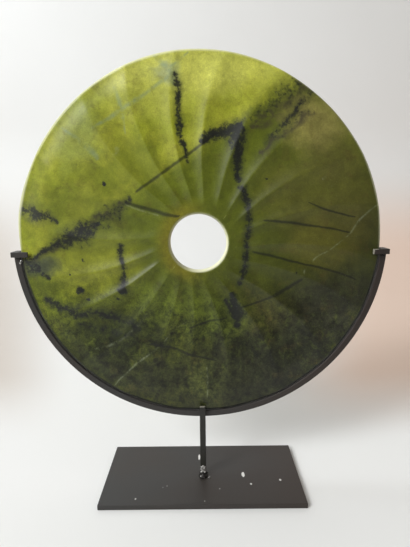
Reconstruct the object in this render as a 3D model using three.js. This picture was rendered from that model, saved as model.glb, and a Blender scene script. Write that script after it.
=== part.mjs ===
// A carved jade bi disc standing in a welded steel display stand.
// Millimetres, +Z up, the carved front faces -Y, origin on the surface below the disc's centre.

import * as THREE from 'three';
import { mergeVertices } from 'three/addons/utils/BufferGeometryUtils.js';

// Stand: a stock plate and a square bar.
const plateWidth = 200;
const plateDepth = 100;
const plateThickness = 5;
const barSize = 6;
const stemOffsetX = 0.6;

// Disc.
const discRadius = 171;
const holeRadius = 26.5;
const holeShiftX = -1.6;
const holeShiftZ = -0.5;
const discHeight = 250;
const discY = -4;
const holeHalfThickness = 6.6;
const rimHalfThickness = 5.8;
const rimRounding = 3;
const holeRounding = 2.5;

// The outer part of each face rolls over towards the rim.
const rollFrom = 0.84;
const rollDrop = 1.8;
const rollSharpness = 1.4;

// The outline is cut by eye: swells and flats, by the clockwise angle of their middle.
const outlineSwells = [
  { middle: 38, halfWidth: 34, height: -1.3 },
  { middle: 281, halfWidth: 17, height: 1.5 },
  { middle: 344, halfWidth: 26, height: 0.6 },
];

// Flutes. Each edge between two flutes is given clockwise from the top, as the front shows it,
// where it crosses the middle of the face. They are cut by eye, so their spacing wanders.
const arrisDegrees = [
  2.5, 21, 39, 56, 73, 91, 108, 127, 146, 166,
  184, 201, 219, 239, 254, 272, 293, 315.5, 331.5, 347,
];
const frontFluteDepth = 2.8;
const backFluteDepth = 1.4;
const arrisSoftness = 0.12;
const swirlTurn = 0.38;
const swirlAtHole = 8;
const swirlAtRim = 6;
const plainBandEnd = 0.03;
const fluteFullFrom = 0.15;
const rimShallowFrom = 0.5;
const fluteDepthKeptAtRim = 0.5;

// Near the hole the flutes are narrow, so they are cut shallower, deepening up to this share.
const fluteDepthKeptAtHole = 0.45;
const fluteDeepestFrom = 0.5;

// Cradle.
const cradleGap = 0.6;
const clipHeight = 5;
const clipOuterX = 178.5;
const clipDepth = 15;
const clipSlot = 11;
const clipDrop = 10.3;
const clipLeftReach = 16;
const clipRightReach = 15.5;

// Saddle under the disc.
const saddleWidth = 5.6;
const saddleWeb = 3;
const saddleReach = 6;
const saddleBarClearance = 0.3;

// Smoothness of the faceted solids.
const columnsPerFlute = 6;
const frontRows = 11;
const backRows = 8;
const rimRows = 6;
const holeRows = 4;
const ringSegments = 72;
const mergeDistance = 1e-4;

const ringInner = discRadius + cradleGap;
const ringOuter = ringInner + barSize;
const ringBottom = discHeight - ringOuter;
const stemTop = ringBottom - saddleWeb;

const jade = new THREE.MeshStandardMaterial({ color: 0x6b7a2e, roughness: 0.22, metalness: 0 });
const steel = new THREE.MeshStandardMaterial({ color: 0x3c3834, roughness: 0.5, metalness: 0.7 });

const root = new THREE.Group();

function addPiece(name, geometry, material, x, y, z) {
  const mesh = new THREE.Mesh(geometry, material);
  mesh.name = name;
  mesh.position.set(x, y, z);
  root.add(mesh);
  return mesh;
}

// Extruded shapes come with separate faces: this joins their corners into one closed skin.
function closed(geometry) {
  geometry.deleteAttribute('normal');
  geometry.deleteAttribute('uv');
  return mergeVertices(geometry, mergeDistance);
}

function mix(from, to, share) {
  return from + (to - from) * share;
}

function smooth(value) {
  const clamped = Math.min(1, Math.max(0, value));
  return clamped * clamped * (3 - 2 * clamped);
}

// The columns of the disc run along the flutes, with the same number between every two arrises.
function fluteColumns() {
  const columns = [];
  arrisDegrees.forEach((start, index) => {
    const isLast = index === arrisDegrees.length - 1;
    const end = isLast ? arrisDegrees[0] + 360 : arrisDegrees[index + 1];
    for (let step = 0; step < columnsPerFlute; step += 1) {
      const across = step / columnsPerFlute;
      columns.push({ degrees: mix(start, end, across), across });
    }
  });
  return columns;
}

// How far a flute has turned clockwise, in degrees, at a share u of the way from hole to rim.
function swirlDegrees(u) {
  if (u < swirlTurn) {
    return swirlAtHole * ((swirlTurn - u) / swirlTurn) ** 2;
  }
  return swirlAtRim * ((u - swirlTurn) / (1 - swirlTurn)) ** 2;
}

// Flutes are hollow between softened arrises, start beyond a plain band and fade at the rim.
function fluteCut(u, across, depth) {
  const inside = 1 - Math.abs(2 * across - 1);
  const softened = (inside * (1 + arrisSoftness)) / (inside + arrisSoftness);
  const hollow = (1 - (1 - inside) ** 2) * softened;
  const start = smooth((u - plainBandEnd) / (fluteFullFrom - plainBandEnd));
  const near = mix(fluteDepthKeptAtHole, 1, smooth(u / fluteDeepestFrom));
  const end = mix(1, fluteDepthKeptAtRim, smooth((u - rimShallowFrom) / (1 - rimShallowFrom)));
  return depth * hollow * start * near * end;
}

function halfThickness(u, across, depth) {
  const roll = rollDrop * smooth((u - rollFrom) / (1 - rollFrom)) ** rollSharpness;
  return mix(holeHalfThickness, rimHalfThickness, u) - roll - fluteCut(u, across, depth);
}

// How far the rim stands out from a true circle at a clockwise angle.
function outlineSwell(degrees) {
  let total = 0;
  outlineSwells.forEach((swell) => {
    const away = Math.abs(((degrees - swell.middle + 540) % 360) - 180);
    total += swell.height * smooth(1 - away / swell.halfWidth);
  });
  return total;
}

// One station is a ring of points round the disc, at a distance from its axis and a share u.
function faceStations(rows, depth, side) {
  const inner = holeRadius + holeRounding;
  const outer = discRadius - rimRounding;
  const stations = [];
  for (let row = 0; row <= rows; row += 1) {
    const u = row / rows;
    stations.push({
      u,
      radius: mix(inner, outer, u),
      offset: (across) => side * halfThickness(u, across, depth),
    });
  }
  return stations;
}

// A rounded edge joins the front face to the back face, outward at the rim and inward at the hole.
function edgeStations(rows, u, faceRadius, reach) {
  const stations = [];
  for (let row = 1; row < rows; row += 1) {
    const angle = (Math.PI * row) / rows;
    const depth = angle < Math.PI / 2 ? frontFluteDepth : backFluteDepth;
    stations.push({
      u,
      radius: faceRadius + reach * Math.sin(angle),
      offset: (across) => -Math.cos(angle) * halfThickness(u, across, depth),
    });
  }
  return stations;
}

function jadeDiscGeometry() {
  const columns = fluteColumns();
  const front = faceStations(frontRows, frontFluteDepth, -1);
  const rim = edgeStations(rimRows, 1, discRadius - rimRounding, rimRounding);
  const back = faceStations(backRows, backFluteDepth, 1).reverse();
  const hole = edgeStations(holeRows, 0, holeRadius + holeRounding, -holeRounding).reverse();
  const stations = [...front, ...rim, ...back, ...hole];

  const positions = [];
  stations.forEach((station) => {
    columns.forEach((column) => {
      const degrees = column.degrees + swirlDegrees(station.u);
      const angle = THREE.MathUtils.degToRad(degrees);
      const radius = station.radius + outlineSwell(degrees) * station.u;
      positions.push(
        radius * Math.sin(angle) + holeShiftX * (1 - station.u),
        station.offset(column.across),
        radius * Math.cos(angle) + holeShiftZ * (1 - station.u),
      );
    });
  });

  const indices = [];
  stations.forEach((station, row) => {
    const nextRow = (row + 1) % stations.length;
    columns.forEach((column, index) => {
      const nextIndex = (index + 1) % columns.length;
      const a = row * columns.length + index;
      const b = row * columns.length + nextIndex;
      const c = nextRow * columns.length + nextIndex;
      const d = nextRow * columns.length + index;
      indices.push(a, b, c, a, c, d);
    });
  });

  const geometry = new THREE.BufferGeometry();
  geometry.setAttribute('position', new THREE.Float32BufferAttribute(positions, 3));
  geometry.setIndex(indices);
  return geometry;
}

// A half circle of square bar with level ends, drawn round the disc's centre in X and Z.
function cradleRingGeometry() {
  const endHeight = -(clipDrop + clipHeight / 2);
  const rightAngle = (radius) => Math.asin(endHeight / radius);
  const leftAngle = (radius) => -Math.PI - Math.asin(endHeight / radius);
  const outline = [];
  for (let step = 0; step <= ringSegments; step += 1) {
    const angle = mix(rightAngle(ringOuter), leftAngle(ringOuter), step / ringSegments);
    outline.push(new THREE.Vector2(ringOuter * Math.cos(angle), ringOuter * Math.sin(angle)));
  }
  for (let step = ringSegments; step >= 0; step -= 1) {
    const angle = mix(rightAngle(ringInner), leftAngle(ringInner), step / ringSegments);
    outline.push(new THREE.Vector2(ringInner * Math.cos(angle), ringInner * Math.sin(angle)));
  }
  const options = { depth: barSize, bevelEnabled: false };
  const geometry = new THREE.ExtrudeGeometry(new THREE.Shape(outline), options);
  geometry.rotateX(Math.PI / 2);
  geometry.translate(0, barSize / 2, 0);
  return closed(geometry);
}

// A fork seen from above: a block outside the rim, and a leg in front of and behind the disc.
function endClipGeometry(side, reach) {
  const outer = side * clipOuterX;
  const inner = side * (clipOuterX - reach);
  const floor = side * (discRadius + cradleGap);
  const outline = [
    new THREE.Vector2(outer, -clipDepth / 2),
    new THREE.Vector2(inner, -clipDepth / 2),
    new THREE.Vector2(inner, -clipSlot / 2),
    new THREE.Vector2(floor, -clipSlot / 2),
    new THREE.Vector2(floor, clipSlot / 2),
    new THREE.Vector2(inner, clipSlot / 2),
    new THREE.Vector2(inner, clipDepth / 2),
    new THREE.Vector2(outer, clipDepth / 2),
  ];
  const options = { depth: clipHeight, bevelEnabled: false };
  return closed(new THREE.ExtrudeGeometry(new THREE.Shape(outline), options));
}

// A saddle seen from the side: its stepped slot takes the ring's bar below and the disc above.
function bottomClipGeometry() {
  const top = ringOuter - (discRadius - saddleReach);
  const barSlot = barSize / 2 + saddleBarClearance;
  const barTop = barSize;
  const outline = [
    new THREE.Vector2(-clipDepth / 2, -saddleWeb),
    new THREE.Vector2(clipDepth / 2, -saddleWeb),
    new THREE.Vector2(clipDepth / 2, top),
    new THREE.Vector2(clipSlot / 2, top),
    new THREE.Vector2(clipSlot / 2, barTop),
    new THREE.Vector2(barSlot, barTop),
    new THREE.Vector2(barSlot, -saddleBarClearance),
    new THREE.Vector2(-barSlot, -saddleBarClearance),
    new THREE.Vector2(-barSlot, barTop),
    new THREE.Vector2(-clipSlot / 2, barTop),
    new THREE.Vector2(-clipSlot / 2, top),
    new THREE.Vector2(-clipDepth / 2, top),
  ];
  const options = { depth: saddleWidth, bevelEnabled: false };
  const geometry = new THREE.ExtrudeGeometry(new THREE.Shape(outline), options);
  const alongY = new THREE.Vector3(0, 1, 0);
  const alongZ = new THREE.Vector3(0, 0, 1);
  const alongX = new THREE.Vector3(1, 0, 0);
  geometry.applyMatrix4(new THREE.Matrix4().makeBasis(alongY, alongZ, alongX));
  geometry.translate(-saddleWidth / 2, 0, 0);
  return closed(geometry);
}

// The disc and what holds it share one upright plane.
addPiece('jade_disc', jadeDiscGeometry(), jade, 0, discY, discHeight);
addPiece('cradle_ring', cradleRingGeometry(), steel, 0, discY, discHeight);

const clipBottom = discHeight - clipDrop - clipHeight / 2;
addPiece('clip_left', endClipGeometry(-1, clipLeftReach), steel, 0, discY, clipBottom);
addPiece('clip_right', endClipGeometry(1, clipRightReach), steel, 0, discY, clipBottom);
addPiece('bottom_clip', bottomClipGeometry(), steel, stemOffsetX, discY, ringBottom);

// The stem stands on the plate and carries the saddle.
const stemLength = stemTop - plateThickness;
const stemGeometry = new THREE.BoxGeometry(barSize, barSize, stemLength);
addPiece('stem', stemGeometry, steel, stemOffsetX, discY, plateThickness + stemLength / 2);

const plateGeometry = new THREE.BoxGeometry(plateWidth, plateDepth, plateThickness);
addPiece('base_plate', plateGeometry, steel, 0, 0, plateThickness / 2);

export default root;
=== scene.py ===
"""A carved jade bi disc resting in a welded steel cradle on a flat base plate. Metres, +Z up."""

import math

import bmesh
import bpy
import numpy as np
from mathutils import Matrix, Vector, noise


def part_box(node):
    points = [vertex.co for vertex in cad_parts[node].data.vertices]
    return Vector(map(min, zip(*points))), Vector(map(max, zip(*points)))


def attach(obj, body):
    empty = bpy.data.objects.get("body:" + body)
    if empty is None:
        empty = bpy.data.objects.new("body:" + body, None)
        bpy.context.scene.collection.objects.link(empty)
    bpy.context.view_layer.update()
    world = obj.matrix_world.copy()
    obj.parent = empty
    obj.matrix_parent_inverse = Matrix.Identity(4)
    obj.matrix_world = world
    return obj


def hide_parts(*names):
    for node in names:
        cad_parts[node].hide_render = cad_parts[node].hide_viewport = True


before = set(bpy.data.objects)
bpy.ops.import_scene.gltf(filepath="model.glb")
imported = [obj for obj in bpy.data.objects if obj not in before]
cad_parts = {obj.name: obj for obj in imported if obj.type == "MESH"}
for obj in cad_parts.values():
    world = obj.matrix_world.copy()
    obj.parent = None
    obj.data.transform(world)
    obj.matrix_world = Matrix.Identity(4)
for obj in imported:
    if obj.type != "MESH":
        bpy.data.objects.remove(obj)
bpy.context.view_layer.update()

MM = 0.001

# ---------------------------------------------------------------- places, from the frame

plate_low, plate_high = (Vector(corner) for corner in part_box("base_plate"))
stem_low, stem_high = (Vector(corner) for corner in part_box("stem"))
ring_low, ring_high = (Vector(corner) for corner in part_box("cradle_ring"))
clip_boxes = {name: [Vector(c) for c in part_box(name)] for name in ("clip_left", "clip_right")}
saddle_low, saddle_high = (Vector(corner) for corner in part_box("bottom_clip"))

bar = stem_high.x - stem_low.x

# ---------------------------------------------------------------- the disc's sizes

DISC_RADIUS = 171 * MM
CRADLE_GAP = 0.6 * MM
HOLE_RADIUS = 26.5 * MM
HOLE_SHIFT_X = -1.6 * MM
HOLE_SHIFT_Z = -0.5 * MM
HOLE_HALF = 6.6 * MM
RIM_HALF = 5.8 * MM
ROLL_FROM = 0.84
ROLL_DROP = 1.8 * MM
ROLL_SHARPNESS = 1.4
RIM_ROUNDING = 3 * MM
HOLE_ROUNDING = 2.5 * MM

disc_centre = Vector((
    (ring_low.x + ring_high.x) / 2,
    (ring_low.y + ring_high.y) / 2,
    ring_low.z + bar + CRADLE_GAP + DISC_RADIUS,
))

# The outline is cut in listed swells: (clockwise angle of the middle, half width, height) of each
# swell.
OUTLINE_SWELLS = [(38, 34, -1.3 * MM), (281, 17, 1.5 * MM), (344, 26, 0.6 * MM)]

# Edges between the flutes, clockwise from the top as the front shows them, at mid face.
ARRIS_DEGREES = [
    2.5, 21, 39, 56, 73, 91, 108, 127, 146, 166,
    184, 201, 219, 239, 254, 272, 293, 315.5, 331.5, 347,
]
FRONT_DEPTH = 2.8 * MM
BACK_DEPTH = 1.4 * MM
ARRIS_SOFTNESS = 0.12
SWIRL_TURN = 0.38
SWIRL_AT_HOLE = 8
SWIRL_AT_RIM = 6
PLAIN_BAND_END = 0.03
FLUTE_FULL_FROM = 0.15
RIM_SHALLOW_FROM = 0.5
DEPTH_KEPT_AT_RIM = 0.5
DEPTH_KEPT_AT_HOLE = 0.45
DEEPEST_FROM = 0.5
HAND_WAVE = 0.3 * MM
HAND_WAVE_SIZE = 24 * MM

COLUMNS_PER_FLUTE = 24
COLUMN_CROWDING = 0.09
FRONT_ROWS = 104
BACK_ROWS = 44
RIM_ROWS = 12
HOLE_ROWS = 10


def mix(start, end, share):
    return start + (end - start) * share


def smooth(value):
    held = np.clip(value, 0, 1)
    return held * held * (3 - 2 * held)


def add_piece(name, mesh, slot, *nodes):
    """A finished mesh becomes a piece that rides on the one body and may stand for CAD nodes."""
    piece = bpy.data.objects.new(name, mesh)
    bpy.context.scene.collection.objects.link(piece)
    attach(piece, "root")
    if nodes:
        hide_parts(*nodes)
    return piece


def shade_smooth(mesh):
    mesh.polygons.foreach_set("use_smooth", [True] * len(mesh.polygons))


# ---------------------------------------------------------------- the jade disc

def flute_columns():
    """The angle of each column and how far across its flute it lies, closest by the arrises."""
    degrees, across = [], []
    ends = ARRIS_DEGREES[1:] + [ARRIS_DEGREES[0] + 360]
    for start, end in zip(ARRIS_DEGREES, ends):
        for step in range(COLUMNS_PER_FLUTE):
            share = step / COLUMNS_PER_FLUTE
            share -= COLUMN_CROWDING * math.sin(2 * math.pi * share)
            degrees.append(mix(start, end, share))
            across.append(share)
    return np.array(degrees), np.array(across)


def swirl(share):
    """How far a flute has turned clockwise, in degrees, at a share of the way to the rim."""
    if share < SWIRL_TURN:
        return SWIRL_AT_HOLE * ((SWIRL_TURN - share) / SWIRL_TURN) ** 2
    return SWIRL_AT_RIM * ((share - SWIRL_TURN) / (1 - SWIRL_TURN)) ** 2


def outline_swell(degrees):
    """How far the rim stands out from a true circle."""
    total = np.zeros_like(degrees)
    for middle, half_width, height in OUTLINE_SWELLS:
        away = np.abs((degrees - middle + 540) % 360 - 180)
        total += height * smooth(1 - away / half_width)
    return total


def half_thickness(share, across, depth):
    """From the middle plane to a face, with the flute's hollow and the roll of the rim."""
    roll = ROLL_DROP * smooth((share - ROLL_FROM) / (1 - ROLL_FROM)) ** ROLL_SHARPNESS
    inside = 1 - np.abs(2 * across - 1)
    softened = inside * (1 + ARRIS_SOFTNESS) / (inside + ARRIS_SOFTNESS)
    hollow = (1 - (1 - inside) ** 2) * softened
    start = smooth((share - PLAIN_BAND_END) / (FLUTE_FULL_FROM - PLAIN_BAND_END))
    near = mix(DEPTH_KEPT_AT_HOLE, 1, smooth(share / DEEPEST_FROM))
    fading = smooth((share - RIM_SHALLOW_FROM) / (1 - RIM_SHALLOW_FROM))
    cut = depth * hollow * start * near * mix(1, DEPTH_KEPT_AT_RIM, fading)
    return mix(HOLE_HALF, RIM_HALF, share) - roll - cut


def disc_stations(across):
    """Rings of points, front, rim, back and hole in turn: share, radius, and y by column."""
    inner = HOLE_RADIUS + HOLE_ROUNDING
    outer = DISC_RADIUS - RIM_ROUNDING

    def face(rows, depth, side):
        shares = [row / rows for row in range(rows + 1)]
        return [
            (share, mix(inner, outer, share), side * half_thickness(share, across, depth))
            for share in shares
        ]

    def edge(rows, share, radius, reach):
        front = half_thickness(share, across, FRONT_DEPTH)
        back = half_thickness(share, across, BACK_DEPTH)
        made = []
        for row in range(1, rows):
            angle = math.pi * row / rows
            half = front if angle < math.pi / 2 else back
            made.append((share, radius + reach * math.sin(angle), -math.cos(angle) * half))
        return made

    stations = face(FRONT_ROWS, FRONT_DEPTH, -1)
    stations += edge(RIM_ROWS, 1, outer, RIM_ROUNDING)
    stations += face(BACK_ROWS, BACK_DEPTH, 1)[::-1]
    stations += edge(HOLE_ROWS, 0, inner, -HOLE_ROUNDING)[::-1]
    return stations


def hand_wave(point):
    """The slight unevenness that polishing by hand leaves, as a share of the thickness."""
    return 1 - abs(noise.noise(Vector(point) / HAND_WAVE_SIZE)) * HAND_WAVE / HOLE_HALF


def make_disc():
    degrees, across = flute_columns()
    stations = disc_stations(across)
    count = len(degrees)
    points = []
    for share, radius, depth in stations:
        turned = degrees + swirl(share)
        angles = np.radians(turned)
        radii = radius + outline_swell(turned) * share
        x = radii * np.sin(angles) + HOLE_SHIFT_X * (1 - share)
        z = radii * np.cos(angles) + HOLE_SHIFT_Z * (1 - share)
        points.append(np.stack([x, depth, z], axis=1))
    points = np.concatenate(points)
    points[:, 1] *= [hand_wave(point) for point in points]
    points += np.array(disc_centre)

    rows = len(stations)
    faces = []
    for row in range(rows):
        below = row * count
        above = ((row + 1) % rows) * count
        for column in range(count):
            after = (column + 1) % count
            faces.append((below + column, below + after, above + after, above + column))
    mesh = bpy.data.meshes.new("jade_disc_carved")
    mesh.from_pydata(points.tolist(), [], faces)
    shade_smooth(mesh)
    return add_piece("jade_disc_carved", mesh, "jade", "jade_disc")


# ---------------------------------------------------------------- material trees

class Tree:
    """A material's nodes, with a short call for each kind of node used below."""

    def __init__(self, name):
        self.material = bpy.data.materials.new(name)
        self.material.use_nodes = True
        self.nodes = self.material.node_tree.nodes
        self.links = self.material.node_tree.links
        self.shader = self.nodes["Principled BSDF"]

    def feed(self, socket, value):
        if isinstance(value, bpy.types.NodeSocket):
            self.links.new(value, socket)
        else:
            socket.default_value = value

    def math(self, operation, *values, clamp=False):
        node = self.nodes.new("ShaderNodeMath")
        node.operation = operation
        node.use_clamp = clamp
        for socket, value in zip(node.inputs, values):
            self.feed(socket, value)
        return node.outputs[0]

    def vector(self, operation, *values):
        node = self.nodes.new("ShaderNodeVectorMath")
        node.operation = operation
        for socket, value in zip(node.inputs, values):
            self.feed(socket, value)
        return node.outputs["Value" if operation in ("LENGTH", "DOT_PRODUCT") else "Vector"]

    def colour(self, share, first, second, blend="MIX"):
        node = self.nodes.new("ShaderNodeMix")
        node.data_type = "RGBA"
        node.blend_type = blend
        self.feed(node.inputs["Factor"], share)
        self.feed(node.inputs[6], first)
        self.feed(node.inputs[7], second)
        return node.outputs[2]

    def surface(self, name, value):
        """Sets or feeds a socket of the shader itself."""
        self.feed(self.shader.inputs[name], value)

    def times(self, first, second):
        return self.math("MULTIPLY", first, second)

    def tint(self, base, mask, strength, tone):
        """base turned towards tone, by strength where mask is 1."""
        return self.colour(self.times(mask, strength), base, tone)

    def swing(self, value, size):
        """A value from 0 to 1 spread evenly about 0, over size in all."""
        return self.math("MULTIPLY_ADD", value, size, -size / 2)

    def grow(self, share, at_none, at_full):
        """A number that goes from at_none to at_full as share goes from 0 to 1."""
        return self.math("MULTIPLY_ADD", share, at_full - at_none, at_none)

    def noise(self, place, size, detail=3.0, rough=0.55, twist=0.0, output="Fac"):
        """Noise from 0 to 1 whose features are about size millimetres across."""
        node = self.nodes.new("ShaderNodeTexNoise")
        self.feed(node.inputs["Vector"], place)
        node.inputs["Scale"].default_value = 1 / size
        node.inputs["Detail"].default_value = detail
        node.inputs["Roughness"].default_value = rough
        node.inputs["Distortion"].default_value = twist
        return node.outputs[output]

    def step(self, value, low, high):
        """0 below low and 1 above high, smooth between. low may be the larger."""
        node = self.nodes.new("ShaderNodeMapRange")
        node.interpolation_type = "SMOOTHSTEP"
        self.feed(node.inputs["Value"], value)
        self.feed(node.inputs["From Min"], low)
        self.feed(node.inputs["From Max"], high)
        return node.outputs["Result"]

    def curve(self, value, points):
        """A smooth curve through (x, y) points, both from 0 to 1."""
        node = self.nodes.new("ShaderNodeFloatCurve")
        line = node.mapping.curves[0]
        line.points[0].location = points[0]
        line.points[1].location = points[-1]
        for point in points[1:-1]:
            line.points.new(*point)
        node.mapping.update()
        self.feed(node.inputs["Value"], value)
        return node.outputs["Value"]

    def place(self, origin):
        """Millimetres from origin, in the object's own frame."""
        source = self.nodes.new("ShaderNodeTexCoord")
        away = self.vector("SUBTRACT", source.outputs["Object"], tuple(origin))
        return self.vector("MULTIPLY", away, (1000, 1000, 1000))

    def parts(self, place):
        node = self.nodes.new("ShaderNodeSeparateXYZ")
        self.feed(node.inputs[0], place)
        return node.outputs

    def bump(self, height, strength, distance):
        node = self.nodes.new("ShaderNodeBump")
        node.inputs["Strength"].default_value = strength
        node.inputs["Distance"].default_value = distance
        self.feed(node.inputs["Height"], height)
        self.feed(self.shader.inputs["Normal"], node.outputs[0])


def rgb(red, green, blue):
    """A colour given as it looks, from 0 to 255, turned into the linear one a shader takes."""
    def linear(value):
        value /= 255
        return value / 12.92 if value <= 0.04045 else ((value + 0.055) / 1.055) ** 2.4
    return (linear(red), linear(green), linear(blue), 1.0)


# ---------------------------------------------------------------- features of the stone
# Each line runs through points (x, z, half width), in millimetres from
# the disc's centre, and each spot or fleck is (x, z, radius).

STAINS = [
    [(112, 152, 10), (92, 134, 13), (70, 118, 12), (48, 102, 5)],
    [(104, 118, 5), (84, 102, 8), (66, 90, 7), (52, 78, 3)],
    [(-60, 42, 4), (-84, 28, 9), (-106, 12, 10), (-132, -2, 7), (-162, -18, 7)],
]

# (strength, points) of each dark seam.
SEAMS = [
    (0.6, [(108, 154, 6), (84, 138, 7), (64, 124, 5), (46, 112, 3), (36, 104, 2)]),
    (0.8, [(112, 144, 1.5), (96, 128, 2.4), (80, 110, 2.4), (62, 94, 2)]),
    (0.5, [(98, 120, 2), (84, 108, 4), (70, 97, 4), (58, 88, 1)]),
    (1.2, [(42, 103, 3), (32, 102, 4.5), (20, 100, 4), (8, 95, 3.4), (0, 91, 1)]),
    (1.2, [(36, 108, 1), (35, 98, 5), (35, 84, 4), (35, 68, 3), (37, 54, 1.6)]),
    (1.0, [
        (37, 54, 1), (42, 42, 3.4), (45, 26, 2.2), (45, 8, 2.6), (43, -12, 2), (40, -30, 2.2),
        (37, -44, 1),
    ]),
    (1.3, [(30, -48, 1.5), (32, -58, 3), (33, -68, 4.5), (35, -78, 3), (36, -84, 1)]),
    (1.1, [(22, -56, 1), (32, -66, 2.5), (44, -70, 1)]),
    (1.0, [
        (-21, 152, 1.4), (-19, 140, 2.4), (-18, 122, 2), (-17, 104, 2.4), (-13, 84, 1.5),
        (-10, 72, 1),
    ]),
    (0.65, [(-62, 42, 1.4), (-72, 34, 4), (-84, 26, 7), (-96, 18, 4), (-104, 12, 1)]),
    (1.0, [(-92, 20, 1), (-100, 15, 3), (-110, 10, 7), (-124, 4, 6), (-138, -2, 3), (-160, -16, 1.6)]),
    (0.9, [(-170, 36, 2), (-160, 30, 4.4), (-150, 26, 5), (-140, 24, 3), (-132, 18, 1)]),
    (0.9, [(-168, -14, 2), (-160, -22, 5), (-150, -28, 3), (-142, -34, 1)]),
    (1.0, [(-75, 0, 1), (-75, -10, 2.6), (-74, -24, 1.8), (-74, -36, 2.6), (-75, -50, 1)]),
    (0.9, [
        (-152, -50, 2), (-134, -62, 3.4), (-120, -68, 4), (-100, -68, 3), (-76, -76, 3.4),
        (-58, -88, 2),
    ]),
    (0.6, [(-124, -78, 2), (-104, -82, 3), (-84, -88, 3), (-64, -92, 1)]),
]

DARK_CRACKS = [
    [(-60, 46, 0.8), (-28, 68, 1.1), (4, 90, 0.9), (18, 100, 0.5)],
    [(58, 20, 0.5), (80, 18, 0.9), (108, 14, 0.8), (142, 8, 0.5)],
    [(48, -9, 0.5), (72, -15, 0.9), (98, -22, 0.7), (120, -27, 0.8), (150, -38, 0.4)],
    [(100, 36, 0.3), (122, 28, 0.7), (146, 22, 0.4)],
    [(-52, -100, 0.6), (-34, -103, 1), (-4, -113, 0.8), (16, -118, 0.3)],
    [(-12, -84, 0.4), (6, -78, 0.9), (26, -74, 0.5)],
    [(98, -36, 0.5), (82, -46, 1.3), (62, -56, 0.9), (38, -64, 0.5)],
    [(-70, 38, 0.6), (-50, 32, 1.4), (-30, 26, 1.2), (-18, 25, 0.5)],
]
PALE_VEINS = [
    [(168, 34, 0.5), (150, 20, 0.9), (140, 6, 0.8), (124, -7, 0.7), (108, -18, 0.8), (100, -34, 1)],
    [(-88, -144, 0.4), (-66, -122, 0.9), (-42, -103, 0.6), (-26, -86, 0.5), (-8, -78, 0.3)],
    [(-106, -104, 0.5), (-76, -93, 1.4), (-52, -68, 0.6)],
    [(5, -124, 0.5), (6, -140, 0.8), (5, -158, 0.5)],
    [(-70, 36, 0.5), (-56, 31, 1), (-38, 25, 0.6)],
]
BLUE_VEINS = [
    [(-22, 150, 2.6), (-40, 138, 1.6), (-62, 124, 2.2), (-80, 113, 1.8), (-98, 103, 0.8)],
    [(-40, 168, 1), (-34, 160, 2.4), (-25, 152, 3), (-22, 140, 1.2)],
    [(-8, 168, 0.6), (-18, 160, 1.4), (-28, 154, 1.6)],
    [(-130, 108, 0.6), (-112, 96, 2), (-98, 84, 2.6), (-92, 76, 1)],
    [(-76, 140, 0.8), (-70, 124, 2.4), (-68, 108, 1.4), (-66, 96, 0.6)],
]
SPOTS = [
    (-116, -46, 4), (-75, -46, 4.4), (-112, -16, 1.6), (-109, -55, 1.8), (-88, 55, 1.8),
    (-90, -72, 2.4), (-80, -54, 1.6), (-124, -30, 1.2), (62, 58, 1.2), (92, -30, 1.2),
]
PALE_FLECKS = [(-76, 83, 4), (-53, 137, 1.2), (115, 58, 1.2), (-138, 108, 2)]


SEAM_END_SLACK = 0.01
SEAM_END_FADE = 0.03
SPOT_OUTER = 1.45
SPOT_INNER = 0.5
PATCH_OUTER = 1.15
PATCH_INNER = 0.35


def seam_closeness(tree, place, points, reach=1.0):
    """1 along the middle of a seam, falling to 0 at reach half widths from it."""
    start = Vector(points[0][:2])
    end = Vector(points[-1][:2])
    length = (end - start).length
    along_way = (end - start) / length
    across_way = Vector((-along_way.y, along_way.x))
    spots = []
    for x, z, half in points:
        away = Vector((x, z)) - start
        spots.append((away.dot(along_way), away.dot(across_way), half))
    bow = max(abs(across) for _, across, _ in spots) + 1
    widest = max(half for _, _, half in spots) * reach
    from_start = tree.vector("SUBTRACT", place, (start.x, 0, start.y))
    along = tree.vector("DOT_PRODUCT", from_start, (along_way.x, 0, along_way.y))
    across = tree.vector("DOT_PRODUCT", from_start, (across_way.x, 0, across_way.y))
    share = tree.math("DIVIDE", along, length)
    middle = tree.curve(share, [(a / length, 0.5 + c / bow / 2) for a, c, _ in spots])
    middle = tree.math("MULTIPLY_ADD", middle, 2 * bow, -bow)
    half = tree.curve(share, [(a / length, w * reach / widest) for a, _, w in spots])
    half = tree.times(half, widest)
    off = tree.math("ABSOLUTE", tree.math("SUBTRACT", across, middle))
    close = tree.math("SUBTRACT", 1, tree.math("DIVIDE", off, half), clamp=True)
    begun = tree.step(share, -SEAM_END_SLACK, SEAM_END_FADE)
    ongoing = tree.step(share, 1 + SEAM_END_SLACK, 1 - SEAM_END_FADE)
    return tree.times(close, tree.times(begun, ongoing))


def strongest(tree, masks):
    total = masks[0]
    for mask in masks[1:]:
        total = tree.math("MAXIMUM", total, mask)
    return total


def seams(tree, place, lines, reach=1.0):
    return strongest(tree, [seam_closeness(tree, place, line, reach) for line in lines])


def weighted_seams(tree, place, lines, reach):
    """Like seams, for lines that each have a strength of their own."""
    found = []
    for strength, points in lines:
        found.append(tree.times(seam_closeness(tree, place, points, reach), strength))
    return strongest(tree, found)


def from_axis(tree, place):
    """How far a place lies from the disc's axis, whatever its depth."""
    return tree.vector("LENGTH", tree.vector("MULTIPLY", place, (1, 0, 1)))


def spot_mask(tree, place, x, z, radius, wander):
    """A round spot right through the stone, its edge pushed about by wander."""
    away = tree.vector("SUBTRACT", place, (x, 0, z))
    off = tree.math("ADD", from_axis(tree, away), wander)
    return tree.step(off, radius * SPOT_OUTER, radius * SPOT_INNER)


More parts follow.
